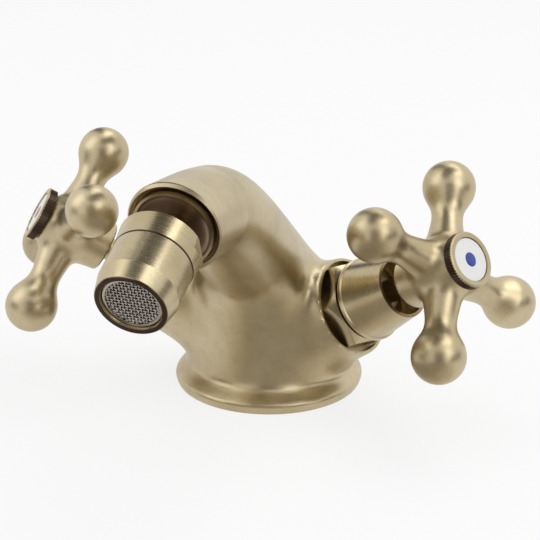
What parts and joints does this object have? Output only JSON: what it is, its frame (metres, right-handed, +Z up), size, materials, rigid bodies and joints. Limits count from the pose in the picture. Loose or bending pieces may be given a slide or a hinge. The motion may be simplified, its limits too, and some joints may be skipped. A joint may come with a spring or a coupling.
{
  "type": "two-handle bidet mixer tap",
  "caption": "Deck-mounted bidet mixer tap with a cross handle on each side, a swan-neck spout and a ball-jointed aerator nozzle, in brushed antique brass.",
  "frame": {"origin": "centre of the base's underside, where it sits on the deck", "axes": "+Z up; the spout points to -Y; +X is the cold side, on the right of someone facing the tap"},
  "size_m": [0.1653, 0.1409, 0.0879],
  "materials": {
    "cast_brass": "brushed antique brass casting",
    "turned_brass": "antique brass, brushed round the axis",
    "handle_brass": "brushed antique brass casting",
    "cap_brass": "dark knurled antique brass",
    "bare_brass": "bare turned brass",
    "steel": "stainless steel",
    "rubber": "black rubber",
    "alumina": "lapped ceramic",
    "porcelain": "glossy white porcelain",
    "plastic": "moulded acetal"
  },
  "bodies": {
    "root": {"body": "cast_brass", "base_gasket": "rubber", "spout_adaptor": "turned_brass", "adaptor_washer": "rubber", "cold_bonnet": "turned_brass", "cold_shroud": "turned_brass", "cold_cartridge_housing": "bare_brass", "cold_cartridge_ring": "rubber", "cold_seat_seal": "rubber", "cold_fixed_disc": "alumina", "hot_bonnet": "turned_brass", "hot_shroud": "turned_brass", "hot_cartridge_housing": "bare_brass", "hot_cartridge_ring": "rubber", "hot_seat_seal": "rubber", "hot_fixed_disc": "alumina"},
    "cold_valve": {"cold_moving_disc": "alumina", "cold_spindle": "bare_brass", "cold_spindle_ring": "rubber", "cold_spindle_clip": "steel", "cold_cross_handle": "handle_brass", "cold_handle_screw": "steel", "cold_index_cap": "cap_brass", "cold_index_button": "porcelain"},
    "hot_valve": {"hot_moving_disc": "alumina", "hot_spindle": "bare_brass", "hot_spindle_ring": "rubber", "hot_spindle_clip": "steel", "hot_cross_handle": "handle_brass", "hot_handle_screw": "steel", "hot_index_cap": "cap_brass", "hot_index_button": "porcelain"},
    "swivel_ball": {"ball_stem": "turned_brass", "stem_clip": "steel", "stem_ring": "rubber"},
    "nozzle": {"swivel_collar": "turned_brass", "ball_seat": "plastic", "nozzle_housing": "turned_brass", "nozzle_washer": "rubber", "aerator_core": "plastic", "aerator_ring": "steel", "aerator_screen": "steel"}
  },
  "joints": [
    {"name": "cold_handle_turn", "type": "hinge", "parent": "root", "child": "cold_valve", "pos_m": [0, 0.0077, 0.0105], "axis": [0.7812, -0.3527, 0.515], "range_deg": [-90, 0]},
    {"name": "hot_handle_turn", "type": "hinge", "parent": "root", "child": "hot_valve", "pos_m": [0, 0.0077, 0.0105], "axis": [-0.7812, -0.3527, 0.515], "range_deg": [0, 90]},
    {"name": "nozzle_swivel", "type": "hinge", "parent": "root", "child": "swivel_ball", "pos_m": [0, -0.09077, 0.07144], "axis": [0, -0.9659, -0.2588], "continuous": true},
    {"name": "nozzle_tilt", "type": "hinge", "parent": "swivel_ball", "child": "nozzle", "pos_m": [0, -0.09077, 0.07144], "axis": [1, 0, 0], "range_deg": [-22.5, 7.5]}
  ]
}
